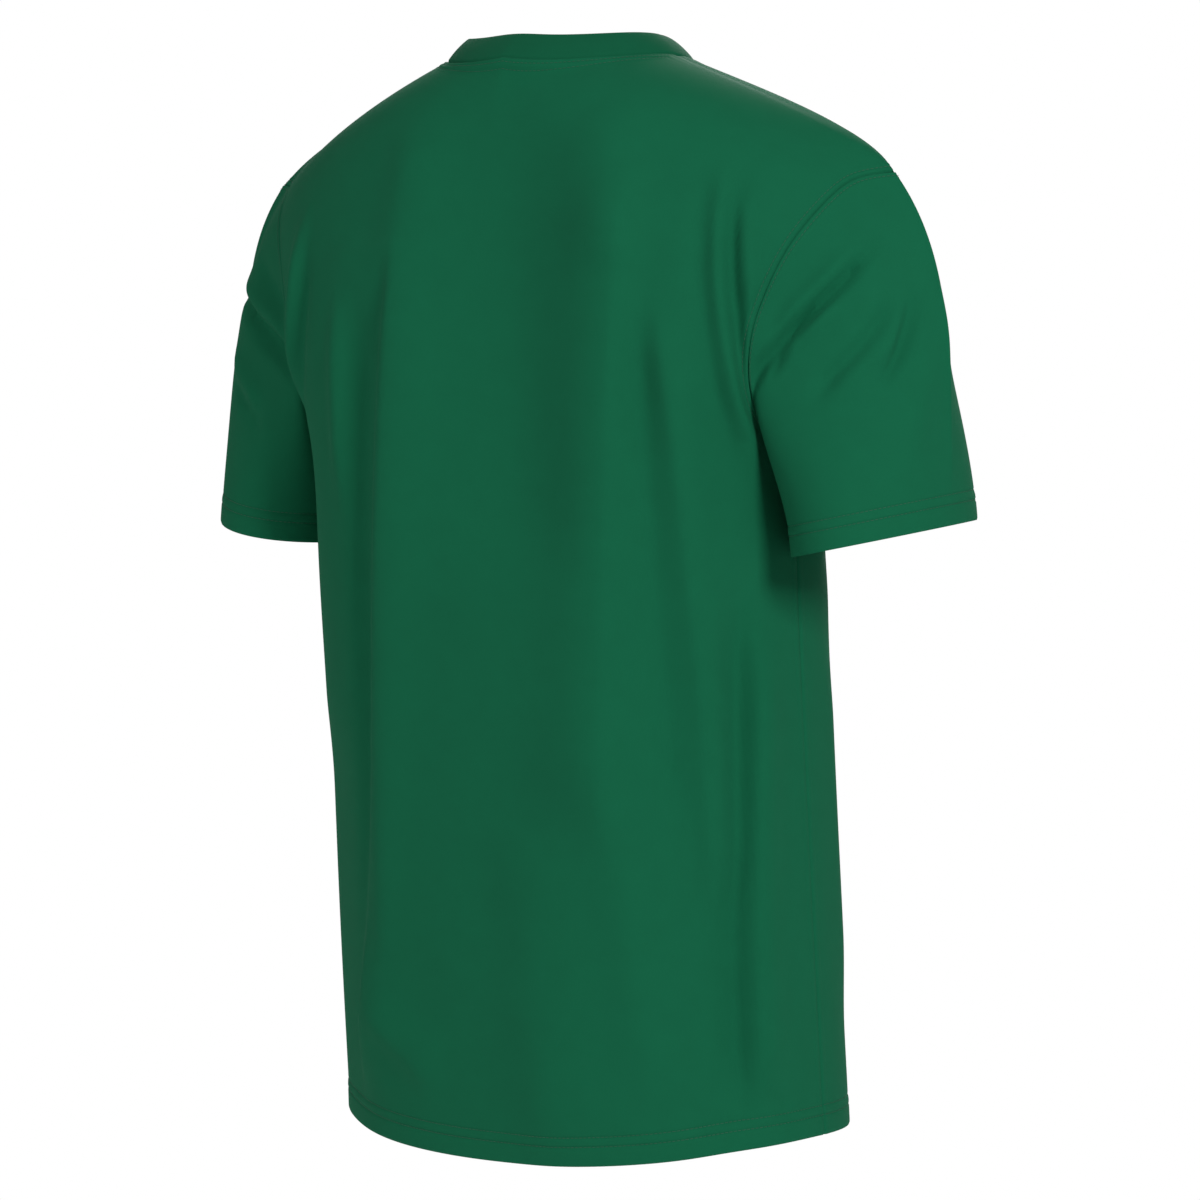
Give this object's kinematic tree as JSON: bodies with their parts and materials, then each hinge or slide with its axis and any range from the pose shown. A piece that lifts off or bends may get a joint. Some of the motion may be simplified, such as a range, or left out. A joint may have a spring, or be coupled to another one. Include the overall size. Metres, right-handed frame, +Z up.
{
  "type": "t-shirt",
  "caption": "Plain crew-neck T-shirt with short sleeves, filled out as it hangs when worn: thin cloth walls round an empty body, with open neck, hem and cuffs.",
  "frame": {"origin": "midway between the two points where the shoulder seams meet the neck seam, at their height, where the garment hangs on its wearer's shoulders", "axes": "+Z up, the wearer faces -Y, and the wearer's left is +X"},
  "size_m": [0.585, 0.2815, 0.7523],
  "materials": {
    "jersey": "matt plain green cotton jersey with a fine knit and a faint soft sheen at grazing angles",
    "collar_rib": "matt green fine rib knit, folded double, a shade darker than the body"
  },
  "bodies": {
    "root": {"back": "jersey", "front": "jersey", "sleeve_left": "jersey", "sleeve_right": "jersey", "collar": "collar_rib"}
  },
  "joints": []
}
